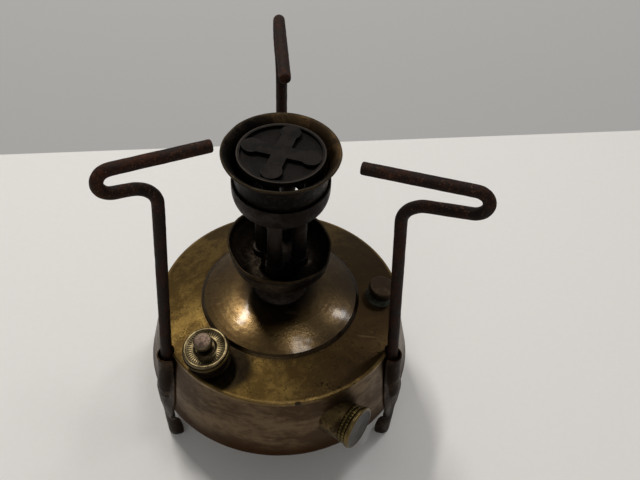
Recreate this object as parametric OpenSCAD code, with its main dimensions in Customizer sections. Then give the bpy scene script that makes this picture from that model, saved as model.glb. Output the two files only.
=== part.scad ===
// Kerosene pressure stove. A round brass tank stands on three pressed legs and carries a hand pump,
// a filler cap with its air screw, a screw plug, and a four-tube burner over a spirit cup.
// Three loose steel rods stand in sockets on the legs and bend inwards to carry a pan.
// The origin is on the table, under the tank's axis. +Z is up, the back rod is at +Y, and the pump
// knob points out at the front right.

/* [Tank] */
// Radius of the tank at the bottom of its wall
tank_r = 82.5; // [79:0.5:86]
// Radius of the rim, where the top is folded over the wall
rim_r = 74.8; // [73:0.2:78]
// Height of the tank's bottom edge above the table
tank_lift = 40.6; // [34:0.2:50]
// Height of the wall from its bottom edge to the rim
wall_h = 46.4; // [44:0.2:54]
// Thickness of the tank's brass sheet
sheet = 1; // [0.8:0.1:1.4]
// Depth of the folded lip below the rim
lip_h = 2.6; // [2:0.1:3.6]
// Radius of the rounded bottom edge
corner_r = 3; // [2:0.5:4]
// Rise of the bottom plate inside its edge
bottom_rise = 2; // [1:0.5:3]

/* [Tank top] */
// Radius at which the sloping ring ends and the dome begins
dome_r = 47.3; // [44:0.5:49]
// Rise of the sloping ring from the rim to the dome
ring_rise = 5.4; // [4:0.2:7]
// Height of the small step round the dome
dome_step = 1.6; // [0.8:0.1:2.2]
// Rise of the dome above its step
dome_rise = 8; // [6:0.2:10]

/* [Riser and spirit cup] */
// Outside radius of the riser tube
riser_r = 7; // [6.5:0.1:7.6]
// Bore radius of the riser tube
riser_bore = 5.2; // [4.8:0.1:5.6]
// Gap between the foot of the riser tube and the bottom plate
pickup_gap = 2.5; // [1.5:0.5:5]
// Radius of the neck collar at its foot on the dome
neck_r = 16; // [14:0.5:18]
// Radius of the neck collar under the cup
neck_top_r = 11.5; // [10.5:0.5:13]
// Height from the dome's crown to the floor of the spirit cup
neck_h = 15.6; // [13:0.2:20]
// Radius of the spirit cup at its rim
cup_r = 29.9; // [26:0.5:33]
// Depth of the spirit cup
cup_depth = 21.2; // [16:0.2:24]
// Thickness of the cup's sheet
cup_t = 0.8; // [0.6:0.1:1.2]

/* [Burner] */
// Width across the flats of the burner's nut
nut_af = 20; // [18:0.5:21]
// Height of the burner's nut
nut_h = 7; // [6:0.5:9]
// Distance of the four burner tubes from the stove's axis at their foot
tube_foot_r = 11; // [10.5:0.1:11.5]
// Distance of the four burner tubes from the stove's axis at the head
tube_head_r = 17; // [15:0.1:17.4]
// Outside radius of one burner tube
tube_r = 4.25; // [3.75:0.25:4.5]
// Wall of one burner tube
tube_wall = 1; // [0.8:0.1:1.4]
// Turn of the four tubes and the cross on the head, about the stove's axis
tube_turn = 72; // [60:1:85]
// Height of the top of the burner head above the rim of the spirit cup
head_rise = 69.2; // [62:0.2:76]
// Radius of the burner head
head_r = 23.4; // [22.6:0.1:24]
// Thickness of the burner head with its cross
head_t = 5; // [4:0.5:6]
// Depth of the hollows between the arms of the cross
cross_depth = 1.8; // [1.2:0.2:2.4]

/* [Bell and flame ring] */
// Radius of the bell at its rim
bell_r = 26.7; // [26.2:0.1:28]
// Height of the bell
bell_h = 14.6; // [12:0.2:17]
// Radius of the flame ring at its top
flame_r = 32.4; // [30:0.2:36]
// Height of the flame ring
flame_h = 24; // [20:0.5:27]
// Thickness of the sheet of the bell and the flame ring
bell_t = 0.8; // [0.6:0.1:1]

/* [Legs and rods] */
// Thickness of the rods
rod_d = 7; // [6:0.2:7.6]
// Gap between a rod and its loose socket
socket_gap = 1.3; // [0.8:0.1:1.4]
// Thickness of the leg sheet
leg_t = 1.2; // [1:0.1:1.5]
// Distance of the socket's axis outside the rim
socket_out = 2; // [1.5:0.1:2.6]
// Distance of the socket's axis inside the wall's face at the foot of the rod
socket_in = 1.77; // [1.5:0.01:2.2]
// Depth of the socket below the rim
socket_depth = 40.5; // [36:0.5:42]
// Half width of the leg where it lies on the tank wall
leg_half_w = 13.5; // [11:0.5:15]
// Half width of the leg's foot
foot_half_w = 5.2; // [4.8:0.1:5.8]
// Half width of the leg's waist
waist_half_w = 5; // [4.4:0.1:5.4]
// Radius of the bend from the stem into the lower run of a rod
rod_bend = 12.4; // [10:0.2:14]
// Distance between the two runs of a rod's hook, axis to axis
hook_gap = 14.6; // [12:0.2:17]

/* [Left rod] */
// Length of the left rod's stem up to its lower run
left_stem = 169.5; // [160:0.5:178]
// Reach of the left rod's hook outside its stem
left_reach = 28; // [26:0.5:44]
// Reach of the left rod's arm inside its stem
left_arm = 28.2; // [20:0.2:31]
// Turn of the left rod in its socket
left_turn = -9.3; // [-20:0.1:20]

/* [Right rod] */
// Length of the right rod's stem up to its lower run
right_stem = 159; // [152:0.5:178]
// Reach of the right rod's hook outside its stem
right_reach = 41.7; // [26:0.1:44]
// Reach of the right rod's arm inside its stem
right_arm = 22.1; // [20:0.1:31]
// Turn of the right rod in its socket
right_turn = 14; // [-20:0.5:20]

/* [Back rod] */
// Length of the back rod's stem up to its lower run
back_stem = 163; // [152:0.5:178]
// Reach of the back rod's hook outside its stem
back_reach = 32; // [26:0.5:44]
// Reach of the back rod's arm inside its stem
back_arm = 31; // [20:0.5:32]
// Turn of the back rod in its socket
back_turn = 3.5; // [-20:0.5:20]

/* [Filler] */
// Distance of the filler inside the rim
filler_in = 13.6; // [13:0.2:15]
// Direction of the filler, seen from above
filler_az = -131.5; // [-140:0.5:-125]
// Radius of the filler cap
cap_r = 13.1; // [12.6:0.1:13.8]
// Outside radius of the filler neck
filler_neck_r = 11; // [10.4:0.1:11.6]
// Height of the filler neck above the tank top
filler_neck_h = 9; // [7:0.5:10]
// Thread radius of the filler cap
cap_thread_r = 8.6; // [8:0.1:9]
// Thread length of the filler cap
cap_thread = 9; // [8:0.5:11]
// Radius of the air screw's head
air_head_r = 5.3; // [4.6:0.1:5.8]
// Opening under the air screw's washer
air_rise = 2.6; // [0.8:0.2:4]
// Radius of the air screw's shank
air_shank_r = 2.6; // [2.2:0.1:3]

/* [Plug] */
// Distance of the plug inside the rim
plug_in = 13.6; // [13:0.2:15]
// Direction of the plug, seen from above
plug_az = 1; // [-5:0.5:8]
// Radius of the plug's head
plug_head_r = 8.4; // [7.8:0.1:9]
// Thickness of the plug's head
plug_head_t = 5.4; // [4:0.2:7]
// Height of the plug's boss
boss_h = 4; // [3:0.2:5]
// Thread radius of the plug
plug_thread_r = 5; // [4.4:0.1:5.4]

/* [Pump] */
// Direction in which the pump points out, seen from above
pump_az = -36.2; // [-38:0.2:-34]
// Upward tilt of the pump
pump_tilt = 4.4; // [3:0.2:6]
// Distance of the pump's axis from the tank's axis
pump_offset = 35.6; // [33:0.2:37]
// Height of the pump's axis above the tank's bottom edge, at its middle
pump_mid_h = 18; // [16.5:0.5:20]
// Outside radius of the pump tube
pump_tube_r = 9.5; // [9:0.1:10]
// Wall of the pump tube
pump_wall = 0.8; // [0.6:0.1:1]
// Length of the pump tube inside the tank wall
pump_len = 104; // [96:1:110]
// Radius of the pump cap
pump_cap_r = 12; // [11.6:0.1:12.6]
// Length of the pump cap
pump_cap_h = 4.4; // [4:0.2:5]
// Clearance between the wall and the foot of the pump cap
pump_stand = 0.5; // [0.4:0.1:2]
// Radius of the pump rod
pump_rod_r = 2.4; // [2:0.1:2.8]
// Radius of the pump knob
knob_r = 13; // [12.4:0.1:14]
// Thickness of the pump knob
knob_t = 3.2; // [2.6:0.2:4]

/* [Fits] */
// Running clearance of threads and sliding rods
run_gap = 0.08; // [0.05:0.01:0.1]
// Gap between pieces that rest on each other and come apart
seat_gap = 0.3; // [0.2:0.05:0.4]
// Thickness of a sealing washer
washer_t = 1; // [0.8:0.1:1.4]

/* [Hidden] */
$fn = 96;

// Azimuths of the three legs
left_az = 210;
right_az = 330;
back_az = 90;

// Heights of the tank, from the table
base_z = tank_lift;
rim_z = base_z + wall_h;
wall_top_r = rim_r - sheet;
wall_top_z = rim_z - lip_h;
wall_slope = (tank_r - wall_top_r) / (wall_top_z - base_z);
plate_top_z = base_z + bottom_rise + sheet;
ring_top_z = rim_z + ring_rise;
ring_slope = atan(ring_rise / (rim_r - dome_r));
dome_foot_z = ring_top_z + dome_step;
dome_sphere_r = (dome_r * dome_r + dome_rise * dome_rise) / (2 * dome_rise);
crown_z = dome_foot_z + dome_rise;

function wall_r(z) = min(tank_r - (z - base_z) * wall_slope, tank_r);
function ring_z(r) = rim_z + (rim_r - r) * tan(ring_slope);
function dome_z(r) = crown_z - dome_sphere_r + sqrt(dome_sphere_r * dome_sphere_r - r * r);
function arc(x, y, r, from, to, steps = 8) =
    [for (i = [0 : steps]) let (a = from + (to - from) * i / steps) [x + r * cos(a), y + r * sin(a)]];
function reversed(points) = [for (i = [len(points) - 1 : -1 : 0]) points[i]];

// Heights of the riser, the cup and the burner
cup_floor_z = crown_z + neck_h;
cup_rim_z = cup_floor_z + cup_depth;
riser_top_z = cup_floor_z + cup_t + 1.6;
washer_r = riser_r + 1;
burner_z = riser_top_z + washer_t;
spigot_len = 10;
spider_z = burner_z + nut_h;
spider_t = 5;
head_z = cup_rim_z + head_rise;
flame_z = head_z - flame_h + seat_gap;
bell_step = 4.6;
bell_rim_z = flame_z + bell_step;
bell_floor_z = bell_rim_z - bell_h;
bell_floor_r = tube_head_r + tube_r + bell_t;
bell_mouth_r = 11.8;
tube_bend_foot = bell_floor_z - 6;
tube_bend_top = bell_floor_z + 7;
flame_foot_r = bell_r - bell_t - seat_gap - 0.4;
jet_z = bell_floor_z - 20;
jet_holder_r = 5.6;
jet_holder_h = 9;
jet_thread_r = 2.6;
cross_pipe_r = 2.4;
tube_count = 4;

// Legs and rods
rod_r = rod_d / 2;
socket_bore = rod_r + socket_gap;
socket_r = socket_bore + leg_t;
rod_foot_z = rim_z - socket_depth;
foot_axis_r = tank_r + leg_t - 0.3 - foot_half_w;
waist_z = base_z * 0.54;
socket_lean = atan((wall_r(rod_foot_z) - socket_in - rim_r - socket_out) / socket_depth);
function socket_at(z) = rim_r + socket_out + (rim_z - z) * tan(socket_lean);

// Filler, plug and air screw, on the sloping ring
filler_at = rim_r - filler_in;
plug_at = rim_r - plug_in;
cap_edge_t = 4;
cap_face_z = filler_neck_h + washer_t + cap_edge_t + 0.4;
air_head_z = cap_face_z + seat_gap + air_rise + washer_t;

// Pump, along its own axis
pump_z0 = base_z + pump_mid_h;
pump_exit_z = pump_z0 + tank_r * sin(pump_tilt);
function wall_reach(y, z) = sqrt(pow(wall_r(z), 2) - y * y) / cos(pump_tilt);
pump_exit = wall_reach(pump_offset, pump_exit_z);
cap_side = pump_cap_r * 0.9;
cap_low = pump_cap_r * 0.45;
pump_bore = pump_tube_r - pump_wall;
pump_inner = pump_exit - pump_len;
gland_t = 1;
cap_face_t = 0.8;
cap_foot = wall_reach(pump_offset - cap_side, pump_exit_z - cap_low) + pump_stand;
cap_end = cap_foot + pump_cap_h;
tube_end = cap_end - cap_face_t - gland_t;
knob_at = cap_end + seat_gap;
piston_at = pump_inner + 10;
leather_t = 6;
cage_r = 5;
cage_len = 8;
pip_r = 2.6;
pip_t = 2;
seat_r = 1.5;
spring_len = 5.6;
spring_at = pump_inner - cage_len + 1;

// The outside of the whole tank as one solid, used to fit what lies on it
module tank_envelope() {
    rotate_extrude()
        polygon(concat(
            [[0, base_z]],
            arc(tank_r - corner_r, base_z + corner_r, corner_r, -90, 0),
            [[wall_top_r, wall_top_z], [rim_r, wall_top_z], [rim_r, rim_z], [dome_r, ring_top_z],
             [0, ring_top_z]]));
}

// A line along one of the three sockets, with z = 0 at the foot of its rod
module at_socket(az) {
    rotate([0, 0, az])
        translate([socket_at(rod_foot_z), 0, rod_foot_z])
            rotate([0, -socket_lean, 0])
                children();
}

// A place on the sloping ring of the tank top, with z square to the ring
module at_ring(r, az) {
    rotate([0, 0, az])
        translate([r, 0, ring_z(r)])
            rotate([0, ring_slope, 0])
                children();
}

// The pump's axis, with z along it and pointing out of the tank
module at_pump() {
    rotate([0, 0, pump_az])
        translate([0, -pump_offset, pump_z0])
            rotate([0, 90 - pump_tilt, 0])
                children();
}

module tube(outer, inner, z0, z1) {
    translate([0, 0, z0])
        difference() {
            cylinder(r = outer, h = z1 - z0);
            translate([0, 0, -1])
                cylinder(r = inner, h = z1 - z0 + 2);
        }
}

module socket_holes() {
    for (az = [left_az, right_az, back_az])
        at_socket(az)
            translate([0, 0, -seat_gap])
                cylinder(r = socket_bore, h = socket_depth + 20);
}

// Drawn wall and bottom plate in one piece, with a pressed pocket behind each socket
module tank_body() {
    color("darkgoldenrod")
        difference() {
            union() {
                rotate_extrude()
                    polygon(concat(
                        [[0, base_z + bottom_rise], [tank_r - 16, base_z + bottom_rise],
                         [tank_r - 12, base_z]],
                        arc(tank_r - corner_r, base_z + corner_r, corner_r, -90, 0),
                        [[wall_top_r, wall_top_z], [wall_top_r, rim_z - sheet],
                         [wall_top_r - sheet, rim_z - sheet], [wall_top_r - sheet, wall_top_z]],
                        reversed(arc(tank_r - corner_r, base_z + corner_r, corner_r - sheet, -90, 0)),
                        [[tank_r - 11.6, base_z + sheet], [tank_r - 15.6, plate_top_z],
                         [0, plate_top_z]]));
                intersection() {
                    translate([0, 0, base_z])
                        cylinder(r1 = tank_r - sheet / 2, r2 = wall_top_r - sheet / 2,
                                 h = rim_z - sheet - base_z);
                    for (az = [left_az, right_az, back_az])
                        at_socket(az)
                            translate([0, 0, -seat_gap - sheet])
                                cylinder(r = socket_bore + sheet, h = socket_depth + 20);
                }
            }
            socket_holes();
            at_pump()
                translate([0, 0, pump_exit / 2])
                    cylinder(r = pump_tube_r, h = pump_exit);
        }
}

// Stamped top with its folded lip, sloping ring, step and dome
module tank_top() {
    crown_r = riser_r;
    dome_radii = [for (i = [0 : 12]) crown_r + (dome_r - 1 - crown_r) * i / 12];
    color("goldenrod")
        difference() {
            rotate_extrude()
                polygon(concat(
                    [for (r = dome_radii) [r, dome_z(r)]],
                    [[dome_r, ring_top_z + dome_step * 0.4], [dome_r + 1, ring_z(dome_r + 1)]],
                    [[rim_r - sheet, ring_z(rim_r - sheet)]],
                    arc(rim_r - sheet / 2, rim_z - sheet / 2, sheet / 2, 80, 0, 4),
                    [[rim_r, wall_top_z], [wall_top_r, wall_top_z], [wall_top_r, rim_z - sheet]],
                    [[dome_r + 1, ring_z(dome_r + 1) - sheet],
                     [dome_r, ring_top_z + dome_step * 0.4 - sheet]],
                    reversed([for (r = dome_radii) [r, dome_z(r) - sheet]])));
            socket_holes();
            at_ring(filler_at, filler_az)
                translate([0, 0, -10])
                    cylinder(r = filler_neck_r, h = 20);
            at_ring(plug_at, plug_az)
                translate([0, 0, -10])
                    cylinder(r = plug_thread_r + 1.5, h = 20);
        }
}

// Riser that carries fuel from near the bottom plate up to the burner
module riser_tube() {
    color("peru")
        tube(riser_r, riser_bore, plate_top_z + pickup_gap, riser_top_z);
}

// Flared collar soldered round the riser where it leaves the dome
module neck_collar() {
    foot_z = dome_z(neck_r);
    ring_at = foot_z + 0.55 * (cup_floor_z - foot_z);
    color("saddlebrown")
        difference() {
            rotate_extrude()
                polygon([[riser_r, foot_z - 2], [neck_r, foot_z - 2], [neck_r, foot_z + 1.2],
                    [neck_r - 2, foot_z + 3.2], [neck_top_r + 0.4, ring_at - 1.2],
                    [neck_top_r + 1.4, ring_at - 0.6], [neck_top_r + 1.4, ring_at + 0.6],
                    [neck_top_r, ring_at + 1.2], [neck_top_r, cup_floor_z],
                    [riser_r, cup_floor_z]]);
            translate([0, 0, crown_z - dome_sphere_r])
                sphere(r = dome_sphere_r);
        }
}

// Shallow spirit cup that preheats the burner
module spirit_cup() {
    floor_r = 15;
    wall_arc = cup_r - floor_r;
    color("dimgray")
        rotate_extrude()
            polygon(concat(
                [[riser_r, cup_floor_z], [floor_r, cup_floor_z]],
                [for (i = [1 : 10]) let (t = 9 * i)
                    [floor_r + wall_arc * sin(t), cup_floor_z + cup_depth * (1 - cos(t))]],
                [for (i = [10 : -1 : 1]) let (t = 9 * i)
                    [floor_r + (wall_arc - cup_t) * sin(t),
                     cup_floor_z + cup_t + (cup_depth - cup_t) * (1 - cos(t))]],
                [[floor_r, cup_floor_z + cup_t], [riser_r, cup_floor_z + cup_t]]));
}

// Soft lead washer between the riser and the burner
module burner_washer() {
    color("gray")
        tube(washer_r, riser_bore + run_gap, riser_top_z, burner_z);
}

// The course of burner tube number i as a solid bar of radius r
module tube_run(i, r) {
    foot_z = spider_z + 1;
    top_z = head_z - head_t + 1;
    step = [tube_head_r - tube_foot_r, 0, tube_bend_top - tube_bend_foot];
    rotate([0, 0, tube_turn + 90 * i]) {
        translate([tube_foot_r, 0, foot_z])
            cylinder(r = r, h = tube_bend_foot - foot_z);
        translate([tube_foot_r, 0, tube_bend_foot]) {
            sphere(r = r);
            rotate([0, atan2(step[0], step[2]), 0])
                cylinder(r = r, h = norm(step));
        }
        translate([tube_head_r, 0, tube_bend_top]) {
            sphere(r = r);
            cylinder(r = r, h = top_z - tube_bend_top);
        }
    }
}

// The holes that all the burner tubes pass through
module tube_holes() {
    for (i = [1 : tube_count])
        tube_run(i, tube_r);
}

// Cast burner base: threaded spigot, nut and a four-armed body that holds the tubes
module burner_base() {
    spigot_r = riser_bore - run_gap;
    passage_r = 2.5;
    gallery_r = 1.5;
    gallery_h = 2.6;
    boss_wall = 1.2;
    color("darkslategray")
        difference() {
            union() {
                translate([0, 0, burner_z - spigot_len])
                    cylinder(r = spigot_r, h = spigot_len);
                translate([0, 0, burner_z])
                    cylinder(r = nut_af / sqrt(3), h = nut_h, $fn = 6);
                translate([0, 0, spider_z])
                    cylinder(r = nut_af / 2, h = spider_t);
                for (i = [1 : tube_count])
                    rotate([0, 0, tube_turn + 90 * i])
                        translate([tube_foot_r, 0, spider_z])
                            cylinder(r = tube_r + boss_wall, h = spider_t);
            }
            translate([0, 0, burner_z - spigot_len - 1])
                cylinder(r = passage_r, h = spigot_len + nut_h + gallery_h);
            tube_holes();
            for (a = [0, 90])
                rotate([0, 0, tube_turn + a])
                    translate([-tube_foot_r, 0, spider_z + gallery_h])
                        rotate([0, 90, 0])
                            cylinder(r = gallery_r, h = 2 * tube_foot_r);
        }
}

// The two cross pipes that join opposite tubes at the jet
module cross_pipes(reach) {
    for (a = [0, 90])
        rotate([0, 0, tube_turn + a])
            translate([-reach, 0, jet_z + jet_holder_h / 2])
                rotate([0, 90, 0])
                    cylinder(r = cross_pipe_r, h = 2 * reach);
}

// Vapour tube number i, brazed between the base and the head and bent outwards under the bell
module burner_tube(i) {
    color("dimgray")
        difference() {
            tube_run(i, tube_r);
            tube_run(i, tube_r - tube_wall);
            cross_pipes(tube_foot_r);
        }
}

// Cross pipes and block in the middle of the tubes that carry the jet
module jet_holder() {
    color("darkgoldenrod")
        difference() {
            union() {
                translate([0, 0, jet_z])
                    cylinder(r = jet_holder_r, h = jet_holder_h);
                cross_pipes(tube_foot_r - tube_r + tube_wall * 0.6);
            }
            translate([0, 0, jet_z + jet_holder_h / 2])
                cylinder(r = jet_thread_r, h = jet_holder_h);
        }
}

// Jet that screws into the holder and points up into the bell
module jet_nipple() {
    jet_top = jet_z + jet_holder_h;
    color("gold")
        difference() {
            union() {
                translate([0, 0, jet_z + jet_holder_h / 2 + 0.2])
                    cylinder(r = jet_thread_r - run_gap, h = jet_holder_h / 2 - 0.2);
                translate([0, 0, jet_top])
                    cylinder(r = 4, h = 3, $fn = 6);
                translate([0, 0, jet_top + 3])
                    cylinder(r1 = 3.2, r2 = 1.4, h = 3.4);
            }
            translate([0, 0, jet_z])
                cylinder(r = 0.5, h = 30);
        }
}

// Open bell brazed round the tubes, which gathers gas and air below the head
module burner_bell() {
    side = bell_r - bell_floor_r;
    side_h = bell_h - bell_step;
    color("dimgray")
        difference() {
            rotate_extrude()
                polygon(concat(
                    [[bell_mouth_r, bell_floor_z], [bell_floor_r, bell_floor_z]],
                    [for (i = [1 : 8]) let (t = 90 * i / 8)
                        [bell_floor_r + side * sin(t), bell_floor_z + side_h * (1 - cos(t))]],
                    [[bell_r, bell_rim_z], [bell_r - bell_t, bell_rim_z]],
                    [for (i = [8 : -1 : 1]) let (t = 90 * i / 8)
                        [bell_floor_r + (side - bell_t) * sin(t),
                         bell_floor_z + bell_t + (side_h - bell_t) * (1 - cos(t))]],
                    [[bell_floor_r, bell_floor_z + bell_t], [bell_mouth_r, bell_floor_z + bell_t]]));
            tube_holes();
        }
}

// Head disc that joins the tubes, with a low rim and a raised cross with round-ended arms
module burner_head() {
    rim_w = 1.8;
    arm_w = 8.4;
    lobe_r = 5.6;
    lobe_at = head_r - rim_w - lobe_r;
    floor_z = head_z - 0.6 - cross_depth;
    color("darkslategray")
        difference() {
            union() {
                translate([0, 0, head_z - head_t])
                    cylinder(r1 = head_r - 3, r2 = head_r - 1.5, h = 1.4);
                translate([0, 0, head_z - head_t + 1.4])
                    cylinder(r = head_r, h = floor_z - head_z + head_t - 1.4);
                tube(head_r, head_r - rim_w, floor_z - 0.5, head_z - 0.6);
                intersection() {
                    translate([0, 0, floor_z - 0.5])
                        cylinder(r = head_r - rim_w / 2, h = cross_depth + 1.1);
                    for (i = [1 : tube_count])
                        rotate([0, 0, tube_turn + 90 * i]) {
                            translate([0, -arm_w / 2, floor_z - 1])
                                cube([lobe_at, arm_w, cross_depth + 3]);
                            translate([lobe_at, 0, floor_z - 1])
                                cylinder(r = lobe_r, h = cross_depth + 3);
                        }
                }
            }
            tube_holes();
        }
}

// Loose flared ring that stands in the bell and turns the flame inwards
module flame_ring() {
    foot_h = 8;
    flare = flame_r - flame_foot_r;
    flare_h = flame_h - foot_h;
    outer = concat([[flame_foot_r, flame_z]],
        [for (i = [0 : 10]) let (t = 9 * i)
            [flame_foot_r + flare * (1 - cos(t)), flame_z + foot_h + flare_h * sin(t)]]);
    color("darkolivegreen")
        rotate_extrude()
            polygon(concat(outer,
                reversed([for (p = outer) [p[0] - bell_t, p[1]]])));
}

// Short threaded neck soldered into the sloping ring
module filler_neck() {
    color("saddlebrown")
        at_ring(filler_at, filler_az)
            difference() {
                union() {
                    translate([0, 0, -4])
                        cylinder(r = filler_neck_r, h = filler_neck_h + 4);
                    cylinder(r = filler_neck_r + 1.6, h = 1);
                }
                translate([0, 0, -5])
                    cylinder(r = cap_thread_r + run_gap, h = filler_neck_h + 6);
            }
}

// Leather washer under the filler cap
module filler_washer() {
    color("sienna")
        at_ring(filler_at, filler_az)
            tube(filler_neck_r, cap_thread_r + run_gap, filler_neck_h, filler_neck_h + washer_t);
}

// Filler cap with a stepped edge, a sunk band on its face and a threaded stem
module filler_cap() {
    z0 = filler_neck_h + washer_t;
    edge_t = cap_edge_t;
    color("khaki")
        at_ring(filler_at, filler_az)
            difference() {
                union() {
                    translate([0, 0, z0 - cap_thread])
                        cylinder(r = cap_thread_r, h = cap_thread);
                    translate([0, 0, z0])
                        rotate_extrude()
                            polygon([[0, 0], [cap_r + 0.4, 0], [cap_r + 0.8, 0.4], [cap_r + 0.8, 1.2],
                                [cap_r, 1.8], [cap_r, edge_t - 0.6], [cap_r - 0.6, edge_t],
                                [cap_r - 1.8, edge_t], [cap_r - 2.2, edge_t - 0.4],
                                [air_head_r + 1.4, edge_t - 0.4], [air_head_r + 0.6, edge_t + 0.4],
                                [0, edge_t + 0.4]]);
                }
                translate([0, 0, z0 - cap_thread - 1])
                    cylinder(r = air_shank_r + run_gap, h = cap_thread + edge_t + 3);
            }
}

// Small washer under the air screw's head
module air_washer() {
    color("sienna")
        at_ring(filler_at, filler_az)
            tube(air_head_r - 1, air_shank_r + run_gap, air_head_z - washer_t, air_head_z);
}

// Small screw in the middle of the cap that lets the pressure out
module air_screw() {
    color("darkkhaki")
        at_ring(filler_at, filler_az) {
            translate([0, 0, air_head_z - cap_thread])
                cylinder(r = air_shank_r, h = cap_thread);
            translate([0, 0, air_head_z])
                rotate_extrude()
                    polygon(concat(
                        [[0, 0], [air_head_r - 1, 0], [air_head_r, 0.8]],
                        arc(air_head_r - 1, 3, 1, 0, 90, 4),
                        [[0, 4.2]]));
        }
}

// Soldered boss with the thread for the plug
module plug_boss() {
    color("cadetblue")
        at_ring(plug_at, plug_az)
            difference() {
                union() {
                    translate([0, 0, -3])
                        cylinder(r = plug_thread_r + 1.5, h = 4);
                    cylinder(r1 = plug_head_r + 0.4, r2 = plug_head_r - 0.8, h = boss_h);
                }
                translate([0, 0, -4])
                    cylinder(r = plug_thread_r + run_gap, h = boss_h + 5);
            }
}

// Dark washer under the plug's head
module plug_washer() {
    color("black")
        at_ring(plug_at, plug_az)
            tube(plug_head_r - 1.8, plug_thread_r + run_gap, boss_h, boss_h + washer_t);
}

// Mushroom-headed screw plug
module tank_plug() {
    z0 = boss_h + washer_t;
    thread_len = 7;
    color("sienna")
        at_ring(plug_at, plug_az) {
            translate([0, 0, z0 - thread_len])
                cylinder(r = plug_thread_r, h = thread_len);
            translate([0, 0, z0])
                rotate_extrude()
                    polygon(concat(
                        [[0, 0], [plug_head_r - 1, 0], [plug_head_r, 0.8]],
                        arc(plug_head_r - 1.4, plug_head_t - 2, 1.4, 0, 80, 5),
                        [[0, plug_head_t]]));
        }
}

// Pump barrel, soldered through the wall, with its outer end threaded for the cap
module pump_tube() {
    color("peru")
        at_pump()
            tube(pump_tube_r, pump_bore, pump_inner, tube_end);
}

// Collar soldered round the barrel on the outside of the wall
module pump_collar() {
    color("saddlebrown")
        difference() {
            at_pump()
                tube(pump_cap_r - 0.4, pump_tube_r, pump_exit - 14, cap_foot - seat_gap);
            tank_envelope();
        }
}

// Valve body that closes the inner end of the barrel and cages the valve
module valve_body() {
    color("darkgoldenrod")
        at_pump()
            difference() {
                union() {
                    translate([0, 0, pump_inner])
                        cylinder(r = pump_bore, h = 5);
                    translate([0, 0, pump_inner - cage_len])
                        cylinder(r = cage_r, h = cage_len);
                }
                translate([0, 0, pump_inner - cage_len - 1])
                    cylinder(r = 1.2, h = cage_len);
                translate([0, 0, pump_inner - cage_len + 1])
                    cylinder(r = pip_r + 0.4, h = cage_len + 1);
                translate([0, 0, pump_inner])
                    cylinder(r = seat_r, h = 10);
            }
}

// Cork-faced pip that lets air into the tank and not back
module valve_pip() {
    color("burlywood")
        at_pump()
            translate([0, 0, pump_inner + 2 - run_gap - pip_t])
                cylinder(r = pip_r, h = pip_t);
}

// Fine spring behind the pip, one wire swept round a helix
module valve_spring() {
    turns = 4;
    per_turn = 12;
    sides = 6;
    wire_r = 0.25;
    coil_r = pip_r - 0.6;
    steps = turns * per_turn;
    rise = (spring_len - 2 * wire_r) / steps;
    points = [for (i = [0 : steps], k = [0 : sides - 1])
        let (turn = 360 * i / per_turn, a = 360 * k / sides, r = coil_r + wire_r * cos(a))
        [r * cos(turn), r * sin(turn), wire_r + i * rise + wire_r * sin(a)]];
    walls = [for (i = [0 : steps - 1], k = [0 : sides - 1])
        let (m = (k + 1) % sides, j = i * sides)
        [j + k, j + m, j + sides + m, j + sides + k]];
    foot = [for (k = [sides - 1 : -1 : 0]) k];
    top = [for (k = [0 : sides - 1]) steps * sides + k];
    color("silver")
        at_pump()
            translate([0, 0, spring_at])
                polyhedron(points = points, faces = concat([foot], walls, [top]));
}

// Plate that backs the leather
module piston_plate() {
    color("gray")
        at_pump()
            tube(pump_bore - 1.6, pump_rod_r, piston_at + leather_t, piston_at + leather_t + 1.4);
}

// Cupped leather that pumps the air, its lip towards the valve
module leather_cup() {
    color("saddlebrown")
        at_pump()
            difference() {
                tube(pump_bore - run_gap, pump_rod_r, piston_at, piston_at + leather_t);
                translate([0, 0, piston_at - 1])
                    cylinder(r = pump_bore - 1.8, h = leather_t - 0.6);
            }
}

// Nut that clamps the leather on the rod
module piston_nut() {
    color("dimgray")
        at_pump()
            difference() {
                translate([0, 0, piston_at + leather_t - 4.6])
                    cylinder(r = 4.6, h = 3, $fn = 6);
                translate([0, 0, piston_at])
                    cylinder(r = pump_rod_r, h = leather_t);
            }
}

// Steel rod from the leather out to the knob
module pump_rod() {
    color("lightslategray")
        at_pump()
            translate([0, 0, piston_at + leather_t - 5])
                cylinder(r = pump_rod_r, h = knob_at + 1.6 - piston_at - leather_t + 5);
}

// Leather gland between the barrel's end and the cap
module pump_gland() {
    color("sienna")
        at_pump()
            tube(pump_tube_r, pump_rod_r + run_gap, tube_end, tube_end + gland_t);
}

// Knurled cap screwed over the barrel's end
module pump_cap() {
    grooves = 36;
    color("olivedrab")
        at_pump()
            difference() {
                translate([0, 0, cap_foot])
                    rotate_extrude()
                        polygon([[pump_rod_r + run_gap, 0], [pump_cap_r - 0.5, 0],
                            [pump_cap_r, 0.5], [pump_cap_r, pump_cap_h * 0.4],
                            [pump_cap_r - 0.6, pump_cap_h * 0.46], [pump_cap_r - 0.6, pump_cap_h * 0.54],
                            [pump_cap_r, pump_cap_h * 0.6], [pump_cap_r, pump_cap_h - 0.5],
                            [pump_cap_r - 0.5, pump_cap_h], [pump_rod_r + run_gap, pump_cap_h]]);
                translate([0, 0, cap_foot - 1])
                    cylinder(r = pump_tube_r + run_gap, h = tube_end + gland_t - cap_foot + 1);
                for (i = [0 : grooves - 1])
                    rotate([0, 0, 360 * i / grooves])
                        translate([pump_cap_r + 0.25, 0, cap_foot - 1])
                            cylinder(r = 0.6, h = pump_cap_h + 2, $fn = 16);
            }
}

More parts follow.
